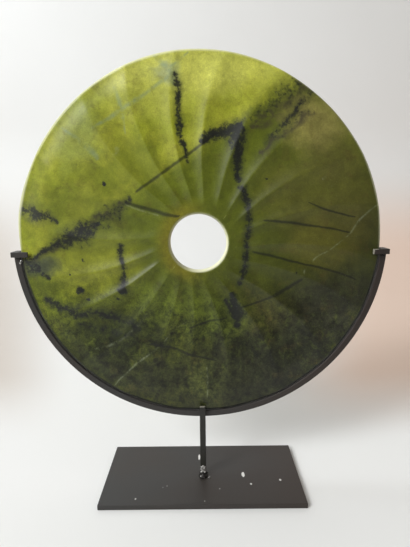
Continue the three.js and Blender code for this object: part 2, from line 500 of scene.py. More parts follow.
def patch_mask(tree, place, x, z, wide, tall, wander):
    """A soft oval patch, from 1 at its middle to 0 at its edge."""
    away = tree.vector("SUBTRACT", place, (x, 0, z))
    away = tree.vector("MULTIPLY", away, (1 / wide, 0, 1 / tall))
    off = tree.math("ADD", tree.vector("LENGTH", away), wander)
    return tree.step(off, PATCH_OUTER, PATCH_INNER)


YELLOW = rgb(168, 170, 52)
YELLOW_GREEN = rgb(142, 150, 34)
WARM_YELLOW = rgb(136, 124, 34)
GREEN_LIGHT = rgb(108, 118, 26)
GREEN = rgb(88, 96, 22)
GREEN_DARK = rgb(60, 64, 18)
GREEN_BLACK = rgb(42, 44, 22)
DRIP_GREEN = rgb(98, 110, 30)
CLOUD_BLACK = rgb(24, 30, 14)
OLIVE_BROWN = rgb(82, 68, 30)
STAIN = rgb(58, 49, 40)
HALO = rgb(40, 46, 28)
# Painted light on the upper rim and the hole's wall.
EDGE_PAINTED_LIGHT = rgb(232, 232, 196)
INK = rgb(18, 20, 18)
INK_BLUE = rgb(54, 59, 66)
PALE = rgb(150, 158, 128)
VEIN_BLUE = rgb(124, 144, 112)
# Painted highlight on the edges between the flutes.
EDGE_PAINTED_HIGHLIGHT = rgb(178, 180, 104)

# Broad areas: (x, z, half width, half height, colour, strength).
AREAS = [
    (-104, -14, 52, 40, rgb(146, 150, 44), 0.8),
    (-110, 24, 66, 46, rgb(100, 110, 34), 0.6),
    (-60, 70, 46, 34, rgb(112, 120, 32), 0.6),
    (110, 40, 70, 60, rgb(92, 86, 38), 0.5),
    (104, 108, 40, 30, rgb(150, 140, 78), 0.7),
    (126, 78, 34, 26, rgb(92, 88, 40), 0.5),
    (118, -4, 40, 30, rgb(96, 92, 30), 0.5),
    (150, 8, 22, 30, rgb(62, 54, 28), 0.25),
    (70, -100, 90, 60, rgb(42, 44, 26), 0.7),
    (130, -70, 50, 50, rgb(46, 46, 34), 0.7),
    (-94, -108, 60, 46, rgb(36, 40, 20), 0.85),
    (-66, -84, 50, 32, rgb(44, 50, 18), 0.7),
    (-46, -132, 50, 26, rgb(42, 44, 28), 0.65),
    (70, -120, 64, 36, rgb(36, 38, 22), 0.65),
    (60, -72, 34, 26, rgb(72, 68, 26), 0.45),
    (14, -74, 42, 26, rgb(88, 100, 28), 0.6),
    (-34, -58, 40, 26, rgb(92, 104, 30), 0.6),
    (4, -140, 20, 30, rgb(78, 84, 40), 0.5),
    # Partly stone tone, partly painted highlight: pale along the top, lightened to take in glare.
    (-10, 156, 120, 30, rgb(208, 208, 98), 0.75),
    # Partly stone tone, partly painted highlight, as in the area above.
    (-46, 132, 60, 26, rgb(178, 182, 76), 0.5),
    (-26, 150, 14, 12, rgb(150, 160, 118), 0.6),
    (-152, -22, 22, 12, rgb(76, 82, 66), 0.85),
    # Partly stone tone, partly painted highlight: pale at the upper-left rim, standing in for glare.
    (-112, 98, 30, 34, rgb(150, 160, 92), 0.45),
]


# Patterns of noise in the stone: feature size in millimetres, detail, roughness, twist.
WARP_NOISE = (16, 5, 0.62)
CLOUD_NOISE = (40, 5, 0.6)
MOTTLE_NOISE = (8, 6, 0.68)
SPECK_NOISE = (2.4, 5, 0.75)
FAINT_NOISE = (5, 4, 0.6)
DRIP_NOISE = (7, 8, 0.78, 0.2)
BLACK_NOISE = (6, 7, 0.78, 0.6)
BROWN_NOISE = (14, 6, 0.7, 0.4)
GRAIN_NOISE = (1.2, 4, 0.75)
BANK_NOISE = (17, 4, 0.65, 0.4)
BLOT_NOISE = (6, 4, 0.7)
INK_NOISE = (2.2, 4, 0.75)
FLECK_NOISE = (0.9, 2, 0.6)
WAVE_NOISE = (12, 3)

# In each pair named STEP a layer is absent at the first value and full at the second. A
# NOISE_STEP holds noise values. Places are in millimetres from the disc's centre.

TO_DARK = (0.62, 0, -0.78)
TO_YELLOW = (-0.53, 0, 0.85)
# Green deepens on the way to the dark: (from, to, colour).
DEEPENING = [(-110, 10, GREEN), (0, 90, GREEN_DARK), (80, 150, GREEN_BLACK)]
DEEPENING_SWING = 80
YELLOW_STEP = (62, 84)
YELLOW_EDGE_WANDER = 4
YELLOW_NOISE_STEP = (0.35, 0.65)
AREA_EDGE_SWING = 0.8
WARM_RADIUS_STEP = (46, 30)
WARM_SIDE_STEP = (12, -22)
WARM_STRENGTH = 0.6


def stone_ground(tree, still, slow, cloud, faint):
    """The stone without its seams: yellow above the main seam, green below, darker lower right."""
    falling = tree.vector("DOT_PRODUCT", slow, TO_DARK)
    falling = tree.math("ADD", falling, tree.swing(cloud, DEEPENING_SWING))
    green = GREEN_LIGHT
    for start, end, tone in DEEPENING:
        green = tree.colour(tree.step(falling, start, end), green, tone)

    above = tree.vector("DOT_PRODUCT", slow, TO_YELLOW)
    above = tree.math("ADD", above, tree.times(faint, YELLOW_EDGE_WANDER))
    yellow = tree.colour(tree.step(cloud, *YELLOW_NOISE_STEP), YELLOW_GREEN, YELLOW)
    stone = tree.colour(tree.step(above, *YELLOW_STEP), green, yellow)

    soft_edge = tree.swing(cloud, AREA_EDGE_SWING)
    for x, z, wide, tall, tone, strength in AREAS:
        patch = patch_mask(tree, slow, x, z, wide, tall, soft_edge)
        stone = tree.tint(stone, patch, strength, tone)

    # A warm band round the hole, strongest on its left.
    near_hole = tree.step(from_axis(tree, still), *WARM_RADIUS_STEP)
    on_left = tree.step(tree.parts(still)["X"], *WARM_SIDE_STEP)
    warm = tree.times(near_hole, on_left)
    return tree.tint(stone, warm, WARM_STRENGTH, WARM_YELLOW)


LOW_STEP = (-10, -95)
ABOVE_BOTTOM_STEP = (-150, -110)
BROWN_NOISE_STEP = (0.54, 0.68)
BLACK_NOISE_STEP = (0.48, 0.58)
DRIP_NOISE_STEP = (0.46, 0.7)
DRIP_SQUEEZE_UP = 0.62
BROWN_STRENGTH = 0.3
DRIP_STRENGTH = 0.32

# Pairs for the upper part of the disc and for low down on it.
BLACK_STRENGTHS = (0.06, 0.62)
MOTTLE_DEPTHS = (0.72, 2.4)
GRAIN_DEPTHS = (0.9, 1.5)
CONTRASTS = (1, 1.7)

MIDDLE_SHADE = 0.98
LEAST_SHADE = 0.12
BANK_SHADES = (0.5, 1.5)


def mottled(tree, stone, still, mottle):
    """Brown patches, black clouds and drips of green, then cloudy light and dark. All but the brown
    crowd low down.
    """
    height = tree.parts(still)["Z"]
    low = tree.step(height, *LOW_STEP)
    brown = tree.step(tree.noise(still, *BROWN_NOISE), *BROWN_NOISE_STEP)
    stone = tree.tint(stone, brown, BROWN_STRENGTH, OLIVE_BROWN)
    black = tree.step(tree.noise(still, *BLACK_NOISE), *BLACK_NOISE_STEP)
    stone = tree.tint(stone, black, tree.grow(low, *BLACK_STRENGTHS), CLOUD_BLACK)
    drawn = tree.vector("MULTIPLY", still, (1, 1, DRIP_SQUEEZE_UP))
    drip = tree.step(tree.noise(drawn, *DRIP_NOISE), *DRIP_NOISE_STEP)
    where = tree.times(low, tree.step(height, *ABOVE_BOTTOM_STEP))
    stone = tree.tint(stone, drip, tree.times(where, DRIP_STRENGTH), DRIP_GREEN)

    centred = tree.math("SUBTRACT", mottle, 0.5)
    shade = tree.math("MULTIPLY_ADD", centred, tree.grow(low, *MOTTLE_DEPTHS), MIDDLE_SHADE)
    grain = tree.math("SUBTRACT", tree.noise(still, *GRAIN_NOISE), 0.5)
    grain = tree.math("MULTIPLY_ADD", grain, tree.grow(low, *GRAIN_DEPTHS), 1)
    shade = tree.times(shade, grain)
    shade = tree.times(shade, tree.grow(tree.noise(still, *BANK_NOISE), *BANK_SHADES))
    away = tree.math("SUBTRACT", shade, MIDDLE_SHADE)
    shade = tree.math("MULTIPLY_ADD", away, tree.grow(low, *CONTRASTS), MIDDLE_SHADE)
    shade = tree.math("MAXIMUM", shade, LEAST_SHADE)
    grey = tree.nodes.new("ShaderNodeCombineColor")
    for socket in grey.inputs[:3]:
        tree.feed(socket, shade)
    return tree.colour(1.0, stone, grey.outputs[0], "MULTIPLY")


# How far the noise pushes broad areas, seams and veins about, in millimetres.
AREA_PUSH = 26
SEAM_PUSH = 7
VEIN_PUSH = 3


def pushed_places(tree, still):
    """The place as broad areas, as seams and as veins see it, so that each wanders."""
    shift = tree.noise(still, *WARP_NOISE, output="Color")
    shift = tree.vector("SUBTRACT", shift, (0.5, 0.5, 0.5))
    return [
        tree.vector("ADD", still, tree.vector("MULTIPLY", shift, (push, push, push)))
        for push in (AREA_PUSH, SEAM_PUSH, VEIN_PUSH)
    ]


STAIN_NOISE_STEP = (0.2, 0.7)
STAIN_FULL_AT = 0.9
STAIN_STRENGTH = 0.8
VEIN_REACH = 1.7
PALE_NOISE_STEP = (0.38, 0.66)
PALE_STRENGTH = 0.36
BLUE_NOISE_STEP = (0.34, 0.6)
BLUE_STRENGTH = 0.55


def stained_and_veined(tree, stone, slow, warped, steady, mottle, faint):
    """Broad stained bands, then pale and bluish veins, all broken up by the mottling."""
    stain = tree.times(seams(tree, slow, STAINS), tree.step(mottle, *STAIN_NOISE_STEP))
    stone = tree.tint(stone, tree.step(stain, 0, STAIN_FULL_AT), STAIN_STRENGTH, STAIN)

    pale = tree.step(seams(tree, steady, PALE_VEINS, VEIN_REACH), 0, 1)
    flecks = [spot_mask(tree, warped, x, z, size, faint) for x, z, size in PALE_FLECKS]
    pale = tree.math("MAXIMUM", pale, strongest(tree, flecks))
    pale = tree.times(pale, tree.step(mottle, *PALE_NOISE_STEP))
    stone = tree.tint(stone, pale, PALE_STRENGTH, PALE)

    blue = tree.step(seams(tree, steady, BLUE_VEINS, VEIN_REACH), 0, 1)
    blue = tree.times(blue, tree.step(mottle, *BLUE_NOISE_STEP))
    return tree.tint(stone, blue, BLUE_STRENGTH, VEIN_BLUE)


SEAM_REACH = 2.6
SPOT_STRENGTH = 1.2
BLOT_SWING = 2.0
FRINGE_SWING = 2.2
DOTS_STEP = (0.4, 0.95)
DOTS_NEAR_SEAM_STEP = (0.02, 0.3)
HALO_STEP = (-0.7, 0.2)
HALO_DARKNESS = 0.6
HALO_STRENGTH = 0.85
INK_NOISE_STEP = (0.56, 0.72)
DOTS_STRENGTH = 0.88


def seamed(tree, stone, still, warped, faint):
    """Seams as clouds of dark blots, crowded along the middle over a soft dark halo.

    Returns the stone and how dark the seams have made it.
    """
    close = weighted_seams(tree, warped, SEAMS, SEAM_REACH)
    spots = [spot_mask(tree, warped, x, z, size, faint) for x, z, size in SPOTS]
    spots = tree.times(strongest(tree, spots), SPOT_STRENGTH)
    close = tree.math("MAXIMUM", close, spots)
    blot = tree.swing(tree.noise(still, *BLOT_NOISE), BLOT_SWING)
    fringe = tree.swing(tree.noise(still, *SPECK_NOISE), FRINGE_SWING)
    ragged = tree.math("ADD", close, tree.math("ADD", blot, fringe))
    near = tree.step(close, *DOTS_NEAR_SEAM_STEP)
    dots = tree.times(tree.step(ragged, *DOTS_STEP), near)
    halo = tree.times(close, tree.step(blot, *HALO_STEP))
    stone = tree.tint(stone, halo, HALO_STRENGTH, HALO)
    ink = tree.colour(tree.step(tree.noise(still, *INK_NOISE), *INK_NOISE_STEP), INK, INK_BLUE)
    stone = tree.tint(stone, dots, DOTS_STRENGTH, ink)
    return stone, tree.math("MAXIMUM", dots, tree.times(halo, HALO_DARKNESS))


FLECK_NOISE_STEP = (0.68, 0.76)
FLECK_STRENGTH = 0.3
POINTINESS_STEP = (0.505, 0.55)
EDGE_HIGHLIGHT_NOISE_STEP = (0.3, 0.6)
EDGE_HIGHLIGHT_STRENGTH = 0.3


def flecked_and_edge_highlit(tree, stone, still, mottle):
    """Fine pale flecks, and painted highlight along the edges between the flutes."""
    fleck = tree.step(tree.noise(still, *FLECK_NOISE), *FLECK_NOISE_STEP)
    stone = tree.tint(stone, fleck, FLECK_STRENGTH, PALE)
    geometry = tree.nodes.new("ShaderNodeNewGeometry")
    # Painted highlight on the sharp edges between the flutes.
    edge_highlight = tree.step(geometry.outputs["Pointiness"], *POINTINESS_STEP)
    edge_highlight = tree.times(edge_highlight, tree.step(mottle, *EDGE_HIGHLIGHT_NOISE_STEP))
    return tree.tint(stone, edge_highlight, EDGE_HIGHLIGHT_STRENGTH, EDGE_PAINTED_HIGHLIGHT)


# Painted light on the upper rim and on the hole's wall.
RIM_LIGHT_STEP = (168, 170.6)
RIM_LIGHT_HEIGHT_STEP = (-30, 20)
RIM_LIGHT_STRENGTH = 0.6
HOLE_LIGHT_STEP = (29.0, 27.2)
TO_LIT_WALL = (0.75, 0, -0.66)
LIT_WALL_STEP = (0, 22)
HOLE_LIGHT_STRENGTHS = (0.4, 1.0)
# Painted shade on the rim where it sits in the cradle.
RIM_SHADE_STEP = (167.4, 169.4)
RIM_SHADE_HEIGHT_STEP = (-4, -14)
RIM_SHADE_STRENGTH = 0.85


def edged(tree, stone, still):
    """Painted light: the upper rim and the hole's wall are painted pale for light through the thin
    edges, the wall most at its lower right, where the light falls.

    Painted shade darkens the rim where it sits in the cradle.
    """
    reach = from_axis(tree, still)
    height = tree.parts(still)["Z"]
    # Painted light along the upper rim.
    rim_painted_light = tree.step(reach, *RIM_LIGHT_STEP)
    rim_painted_light = tree.times(rim_painted_light, tree.step(height, *RIM_LIGHT_HEIGHT_STEP))
    rim_painted_light = tree.times(rim_painted_light, RIM_LIGHT_STRENGTH)
    from_hole = tree.vector("SUBTRACT", still, (HOLE_SHIFT_X / MM, 0, HOLE_SHIFT_Z / MM))
    # Painted light on the hole's wall, strongest at its lower right where the light falls.
    hole_painted_light = tree.step(from_axis(tree, from_hole), *HOLE_LIGHT_STEP)
    lit_far_wall = tree.step(tree.vector("DOT_PRODUCT", from_hole, TO_LIT_WALL), *LIT_WALL_STEP)
    hole_painted_light = tree.times(hole_painted_light, tree.grow(lit_far_wall, *HOLE_LIGHT_STRENGTHS))
    stone = tree.colour(tree.math("MAXIMUM", rim_painted_light, hole_painted_light), stone, EDGE_PAINTED_LIGHT)
    # Painted shade along the rim below the clips, where it sits in the cradle.
    rim_painted_shade = tree.step(reach, *RIM_SHADE_STEP)
    rim_painted_shade = tree.times(rim_painted_shade, tree.step(height, *RIM_SHADE_HEIGHT_STEP))
    return tree.tint(stone, rim_painted_shade, RIM_SHADE_STRENGTH, INK)


FAINT_SWING = 4
CRACK_REACH = 2.3
CRACK_FULL_AT = 0.85
CRACK_STRENGTH = 0.72
CRACK_SINK = -0.5
POLISH_ROUGHNESS = (0.28, 0.48)
SEAM_EXTRA_ROUGHNESS = 0.1
STONE_BUMP = 0.12
STONE_BUMP_HEIGHT = 0.3 * MM
STONE_SHADER = {
    "IOR": 1.58,
    "Specular IOR Level": 0.33,
    "Subsurface Weight": 0.12,
    "Subsurface Radius": (1.0, 1.2, 0.35),
    "Subsurface Scale": 4 * MM,
}


def jade_material():
    tree = Tree("jade_stone")
    still = tree.place(disc_centre)
    slow, warped, steady = pushed_places(tree, still)
    cloud = tree.noise(slow, *CLOUD_NOISE)
    mottle = tree.noise(still, *MOTTLE_NOISE)
    faint = tree.swing(tree.noise(still, *FAINT_NOISE), FAINT_SWING)

    stone = stone_ground(tree, still, slow, cloud, faint)
    stone = mottled(tree, stone, still, mottle)
    stone = stained_and_veined(tree, stone, slow, warped, steady, mottle, faint)
    stone, dark = seamed(tree, stone, still, warped, faint)
    cracks = tree.step(seams(tree, steady, DARK_CRACKS, CRACK_REACH), 0, CRACK_FULL_AT)
    stone = tree.tint(stone, cracks, CRACK_STRENGTH, INK)
    stone = flecked_and_edge_highlit(tree, stone, still, mottle)
    stone = edged(tree, stone, still)
    tree.surface("Base Color", stone)

    polish = tree.grow(mottle, *POLISH_ROUGHNESS)
    polish = tree.math("MULTIPLY_ADD", dark, SEAM_EXTRA_ROUGHNESS, polish)
    tree.surface("Roughness", polish)
    height = tree.math("MULTIPLY_ADD", cracks, CRACK_SINK, tree.noise(still, *WAVE_NOISE))
    tree.bump(height, STONE_BUMP, STONE_BUMP_HEIGHT)
    for socket, value in STONE_SHADER.items():
        tree.surface(socket, value)
    return tree.material


# ---------------------------------------------------------------- the stand

STEEL = rgb(64, 59, 55)
STEEL_COOL = rgb(62, 62, 61)
STEEL_GREEN = rgb(38, 40, 34)
STEEL_RED = rgb(60, 48, 42)
STEEL_PALE = rgb(86, 80, 74)
STEEL_DARK = rgb(40, 37, 35)
EDGE = 0.5 * MM
EDGE_SEGMENTS = 3
STEM_EDGE = 1.4 * EDGE
CLIP_EDGE = 0.8 * EDGE
SADDLE_EDGE = 0.6 * EDGE
RING_STEPS = 180
CORNER_STEPS = 4


def bevelled(name, outline, low, high, axes, edge=EDGE):
    """A prism of an outline, pushed from low to high, with every edge eased.

    axes gives the directions of the outline's two coordinates and of the push.
    """
    first, second, push = (Vector(axis) for axis in axes)
    built = bmesh.new()
    rings = []
    for depth in (low, high):
        rings.append([built.verts.new(first * a + second * b + push * depth) for a, b in outline])
    count = len(outline)
    for index in range(count):
        after = (index + 1) % count
        built.faces.new((rings[0][index], rings[0][after], rings[1][after], rings[1][index]))
    built.faces.new(rings[0][::-1])
    built.faces.new(rings[1])
    bmesh.ops.recalc_face_normals(built, faces=built.faces)
    bmesh.ops.bevel(
        built, geom=built.edges[:], offset=edge, segments=EDGE_SEGMENTS, profile=0.5, affect="EDGES")
    bmesh.ops.triangulate(built, faces=built.faces[:])
    mesh = bpy.data.meshes.new(name)
    built.to_mesh(mesh)
    built.free()
    return mesh


X, Y, Z = (1, 0, 0), (0, 1, 0), (0, 0, 1)


def box_outline(low, high, first, second):
    a, b = low[first], high[first]
    c, d = low[second], high[second]
    return [(a, c), (b, c), (b, d), (a, d)]


def make_plate():
    outline = box_outline(plate_low, plate_high, 0, 1)
    mesh = bevelled("base_plate_steel", outline, plate_low.z, plate_high.z, (X, Y, Z))
    return add_piece("base_plate_steel", mesh, "patinated_steel", "base_plate")


def make_stem():
    outline = box_outline(stem_low, stem_high, 0, 1)
    mesh = bevelled("stem_steel", outline, stem_low.z, stem_high.z, (X, Y, Z), STEM_EDGE)
    return add_piece("stem_steel", mesh, "patinated_steel", "stem")


CLIP_SLOT = 11 * MM
SADDLE_BAR_GAP = 0.3 * MM


def make_end_clip(name):
    low, high = clip_boxes[name]
    side = -1 if low.x < 0 else 1
    outer, inner = (low.x, high.x) if side < 0 else (high.x, low.x)
    floor = side * (DISC_RADIUS + CRADLE_GAP)
    front, back = low.y, high.y
    slot_front = (front + back) / 2 - CLIP_SLOT / 2
    slot_back = (front + back) / 2 + CLIP_SLOT / 2
    outline = [
        (outer, front), (inner, front), (inner, slot_front), (floor, slot_front),
        (floor, slot_back), (inner, slot_back), (inner, back), (outer, back),
    ]
    mesh = bevelled(name + "_steel", outline, low.z, high.z, (X, Y, Z), CLIP_EDGE)
    return add_piece(name + "_steel", mesh, "patinated_steel", name)


def make_saddle():
    middle = (saddle_low.y + saddle_high.y) / 2
    bar_bottom = ring_low.z
    bar_top = bar_bottom + bar
    slot = CLIP_SLOT / 2
    neck = bar / 2 + SADDLE_BAR_GAP
    front, back = saddle_low.y, saddle_high.y
    outline = [
        (front, saddle_low.z), (back, saddle_low.z), (back, saddle_high.z),
        (middle + slot, saddle_high.z), (middle + slot, bar_top), (middle + neck, bar_top),
        (middle + neck, bar_bottom - SADDLE_BAR_GAP), (middle - neck, bar_bottom - SADDLE_BAR_GAP),
        (middle - neck, bar_top), (middle - slot, bar_top), (middle - slot, saddle_high.z),
        (front, saddle_high.z),
    ]
    mesh = bevelled("bottom_clip_steel", outline, saddle_low.x, saddle_high.x, (Y, Z, X), SADDLE_EDGE)
    return add_piece("bottom_clip_steel", mesh, "patinated_steel", "bottom_clip")


def rounded_square(half, corner):
    """Points round a square bar's section, with eased corners."""
    points = []
    for quarter in range(4):
        turn = math.pi / 2 * quarter
        centre = Vector((half - corner, half - corner))
        centre.rotate(Matrix.Rotation(turn, 2))
        for step in range(CORNER_STEPS + 1):
            angle = turn + math.pi / 2 * step / CORNER_STEPS
            points.append(centre + corner * Vector((math.cos(angle), math.sin(angle))))
    return points


def make_ring():
    """Square bar bent round the disc, its ends cut level under the clips."""
    half = bar / 2
    middle_radius = disc_centre.z - ring_low.z - half
    end_height = {
        "right": clip_boxes["clip_right"][0].z - disc_centre.z,
        "left": clip_boxes["clip_left"][0].z - disc_centre.z,
    }
    section = rounded_square(half, STEM_EDGE)
    count = len(section)
    built = bmesh.new()
    rows = []
    for step in range(RING_STEPS + 1):
        row = []
        for radial, side in section:
            radius = middle_radius + radial
            start = math.asin(end_height["right"] / radius)
            end = -math.pi - math.asin(end_height["left"] / radius)
            angle = mix(start, end, step / RING_STEPS)
            place = Vector((radius * math.cos(angle), side, radius * math.sin(angle)))
            row.append(built.verts.new(disc_centre + place))
        rows.append(row)
    for here, there in zip(rows, rows[1:]):
        for index in range(count):
            after = (index + 1) % count
            built.faces.new((here[index], here[after], there[after], there[index]))
    built.faces.new(rows[0])
    built.faces.new(rows[-1][::-1])
    bmesh.ops.recalc_face_normals(built, faces=built.faces)
    mesh = bpy.data.meshes.new("cradle_ring_steel")
    built.to_mesh(mesh)
    built.free()
    return add_piece("cradle_ring_steel", mesh, "patinated_steel", "cradle_ring")


# Weld metal is run on in drops: each is (x, y, z, radius), in millimetres from a joint.
STEM_WELD = [
    (-1.5, -2.6, 5.2, 1.5), (1.5, -2.6, 5.2, 1.5), (0.0, -2.6, 6.8, 1.5), (-1.4, -2.6, 8.4, 1.5),
    (1.4, -2.6, 8.4, 1.5), (-1.4, -2.6, 10.2, 1.5), (1.4, -2.6, 10.2, 1.5), (0.0, -2.6, 11.6, 1.3),
]
FOOT_WELD = [
    (-2.2, -4.2, 0.6, 2.0), (0.2, -5.4, 0.6, 2.2), (2.2, -4.2, 0.6, 2.0), (-3.4, -1.0, 0.6, 1.6),
    (3.4, -1.0, 0.6, 1.6), (-3.2, 2.2, 0.6, 1.6), (3.2, 2.4, 0.6, 1.6), (0.0, 3.8, 0.6, 1.8),
    (0.0, -3.4, 2.2, 2.2),
]
# Spatter at the foot, placed and painted pale as glints.
FOOT_SPATTER_GLINTS = [(-2.2, -6.4, 2.2, 1.0), (6.4, -5.2, 0.5, 1.2), (0.9, -7.4, 1.0, 0.5)]
# The left clip's weld, painted pale as a glint.
LEFT_WELD = [(3.6, -3.0, -4.6, 1.1), (3.0, -3.0, -5.8, 1.1), (4.2, -3.0, -3.6, 0.9)]
RIGHT_WELD = [(-1.4, -3.0, -1.4, 1.0), (-0.2, -3.0, -1.8, 0.9)]
DROP_LEVELS = 3
DROP_ROUGH_SIZE = 1.1 * MM
DROP_ROUGH_SHARE = 0.18
WELD_VOXEL = 0.3 * MM
WELD_SMOOTHING = 3


def make_weld(name, joint, drops, floor=None):
    """Drops of weld metal melted together, never lower than floor."""
    built = bmesh.new()
    for x, y, z, radius in drops:
        centre = joint + Vector((x, y, z)) * MM
        spot = Matrix.Translation(centre)
        made = bmesh.ops.create_icosphere(
            built, subdivisions=DROP_LEVELS, radius=radius * MM, matrix=spot)
        for vert in made["verts"]:
            rough = noise.noise(vert.co / DROP_ROUGH_SIZE) * DROP_ROUGH_SHARE * radius * MM
            vert.co += (vert.co - centre).normalized() * rough
    mesh = bpy.data.meshes.new(name)
    built.to_mesh(mesh)
    built.free()
    draft = bpy.data.objects.new(name + "_draft", mesh)
    bpy.context.scene.collection.objects.link(draft)
    melt = draft.modifiers.new("melt", "REMESH")
    melt.mode = "VOXEL"
    melt.voxel_size = WELD_VOXEL
    even = draft.modifiers.new("even", "SMOOTH")
    even.iterations = WELD_SMOOTHING
    depsgraph = bpy.context.evaluated_depsgraph_get()
    ready = bpy.data.meshes.new_from_object(draft.evaluated_get(depsgraph))
    bpy.data.objects.remove(draft)
    if floor is not None:
        for vert in ready.vertices:
            vert.co.z = max(vert.co.z, floor)
    ready.name = name
    shade_smooth(ready)
    return add_piece(name, ready, "patinated_steel")


def make_welds():
    """Welds and spatter, burnt black at the foot's weld and the right clip and pale elsewhere. The
    pale tone is partly painted glint, and the foot's spatter is painted glint.
    """
    foot = Vector(((stem_low.x + stem_high.x) / 2, (stem_low.y + stem_high.y) / 2, stem_low.z))
    ring_middle = DISC_RADIUS + CRADLE_GAP + bar / 2
    left = Vector((-ring_middle, disc_centre.y, clip_boxes["clip_left"][0].z))
    right = Vector((ring_middle, disc_centre.y, clip_boxes["clip_right"][0].z))
    # Pale weld tone, partly painted glint.
    bright = weld_material("pale_weld_painted_glint", rgb(96, 92, 88), rgb(214, 212, 208), 0.1)
    burnt = weld_material("burnt_weld", rgb(16, 14, 13), rgb(40, 36, 33), 0.3)
    wear(make_weld("stem_weld", foot, STEM_WELD), bright)
    wear(make_weld("foot_weld", foot, FOOT_WELD, plate_high.z), burnt)
    wear(make_weld("foot_spatter_glints", foot, FOOT_SPATTER_GLINTS, plate_high.z), bright)
    wear(make_weld("left_clip_weld", left, LEFT_WELD), bright)
    wear(make_weld("right_clip_weld", right, RIGHT_WELD), burnt)


# Bright chips on the plate's top, in millimetres from its centre: (x, y, half width, half length,
# strength).
PLATE_CHIPS = [
    (-4, 27.5, 1.1, 5.0, 1.0), (42.2, -4.5, 1.6, 4.2, 1.0), (49, -20, 1.1, 1.3, 0.8),
    (79.5, -14, 1.2, 1.6, 0.8), (-65, -41, 0.8, 1.2, 0.6), (-36, -22, 0.6, 0.9, 0.3),
    (17, -27, 0.6, 0.9, 0.35), (2, -45, 0.6, 0.9, 0.35), (-40, -24, 0.5, 0.8, 0.25),
]

# Pale marks on the bars, in millimetres from the disc's centre: (x, z, half width, half height). The
# first is a painted highlight on the bottom clip's top; the others are pale lines on the right clip's
# inner end and top.
PALE_BAR_SPOTS = [(0.6, -164.4, 3.4, 1.3), (163.4, -9.6, 0.9, 3.2), (165.4, -7.7, 3.0, 0.8)]
PALE_BAR_STRENGTH = 0.8
CHIP_OUTER = 1.15
CHIP_INNER = 0.8


def oval_spots(tree, place, across, up, spots, wander):
    """Ovals on a face, each given by its middle and its half sizes along the two axes."""
    found = []
    for first, second, wide, tall, strength in spots:
        middle = [0, 0, 0]
        size = [0, 0, 0]
        middle[across], middle[up] = first, second
        size[across], size[up] = 1 / wide, 1 / tall
        away = tree.vector("MULTIPLY", tree.vector("SUBTRACT", place, middle), size)
        off = tree.math("ADD", tree.vector("LENGTH", away), wander)
        found.append(tree.times(tree.step(off, CHIP_OUTER, CHIP_INNER), strength))
    return strongest(tree, found)


# Patterns of noise in the steel: feature size in millimetres, detail, roughness.
PATINA_NOISE = (70, 2, 0.4)
PATCH_NOISE = (9, 5, 0.65)
STEEL_GRAIN_NOISE = (0.9, 3, 0.6)
DUST_NOISE = (0.7, 4, 0.8)
CHIP_NOISE = (1.6, 2)

PATINA_NOISE_STEP = (0.2, 0.8)
RED_SIDE_STEP = (-60, 170)
RED_STRENGTH = 0.7
PATCH_NOISE_STEP = (0.5, 0.8)
PATCH_STRENGTH = 0.05
STEEL_GRAIN_NOISE_STEP = (0.3, 0.8)
STEEL_GRAIN_STRENGTH = 0.35
DUST_NOISE_STEP = (0.66, 0.76)
DUST_STRENGTH = 0.2
DUST = rgb(128, 122, 114)
CHIP_SWING = 0.9
CHIP_STRENGTH = 0.95
STEEL_ROUGHNESS = (0.45, 0.5)
STEEL_METALLIC = 0.35
GRAIN_HEIGHT = 0.6
PATCH_HEIGHT = 0.1
STEEL_BUMP = 0.2
STEEL_BUMP_HEIGHT = 0.12 * MM


def steel_material(name, origin, marks, bright, cast=STEEL, cast_share=0.0):
    """Brown-black patina, faintly blotched and redder to the right.

    marks(tree, place, wander) gives the pale marks on the metal, one of them a painted highlight, in
    the colour bright. cast is a colour that the whole patina leans to by cast_share.
    """
    tree = Tree(name)
    place = tree.place(origin)
    patina = tree.step(tree.noise(place, *PATINA_NOISE), *PATINA_NOISE_STEP)
    patch = tree.noise(place, *PATCH_NOISE)
    grain = tree.noise(place, *STEEL_GRAIN_NOISE)
    dust = tree.step(tree.noise(place, *DUST_NOISE), *DUST_NOISE_STEP)
    right = tree.step(tree.parts(place)["X"], *RED_SIDE_STEP)
    tone = tree.colour(patina, STEEL_COOL, STEEL)
    tone = tree.tint(tone, right, RED_STRENGTH, STEEL_RED)
    tone = tree.tint(tone, tree.step(patch, *PATCH_NOISE_STEP), PATCH_STRENGTH, STEEL_PALE)
    speckle = tree.step(grain, *STEEL_GRAIN_NOISE_STEP)
    tone = tree.tint(tone, speckle, STEEL_GRAIN_STRENGTH, STEEL_DARK)
    tone = tree.colour(cast_share, tone, cast)
    tone = tree.tint(tone, dust, DUST_STRENGTH, DUST)

    wander = tree.swing(tree.noise(place, *CHIP_NOISE), CHIP_SWING)
    tone = tree.tint(tone, marks(tree, place, wander), CHIP_STRENGTH, bright)
    tree.surface("Base Color", tone)

    tree.surface("Roughness", tree.grow(patch, *STEEL_ROUGHNESS))
    tree.surface("Metallic", STEEL_METALLIC)
    low_patches = tree.times(patch, PATCH_HEIGHT)
    height = tree.math("MULTIPLY_ADD", grain, GRAIN_HEIGHT, low_patches)
    tree.bump(height, STEEL_BUMP, STEEL_BUMP_HEIGHT)
    return tree.material


def plate_marks(tree, place, wander):
    return oval_spots(tree, place, 0, 1, PLATE_CHIPS, wander)


def bar_marks(tree, place, wander):
    spots = [(x, z, wide, tall, PALE_BAR_STRENGTH) for x, z, wide, tall in PALE_BAR_SPOTS]
    return oval_spots(tree, place, 0, 2, spots, wander)


TARNISH_NOISE = (2.2, 4, 0.65)
TARNISH_NOISE_STEP = (0.4, 0.62)
TARNISH_EXTRA_ROUGHNESS = 0.25
RIPPLE_NOISE = (0.8, 2)
WELD_METALLIC = 0.4
WELD_BUMP = 0.3
WELD_BUMP_HEIGHT = 0.1 * MM


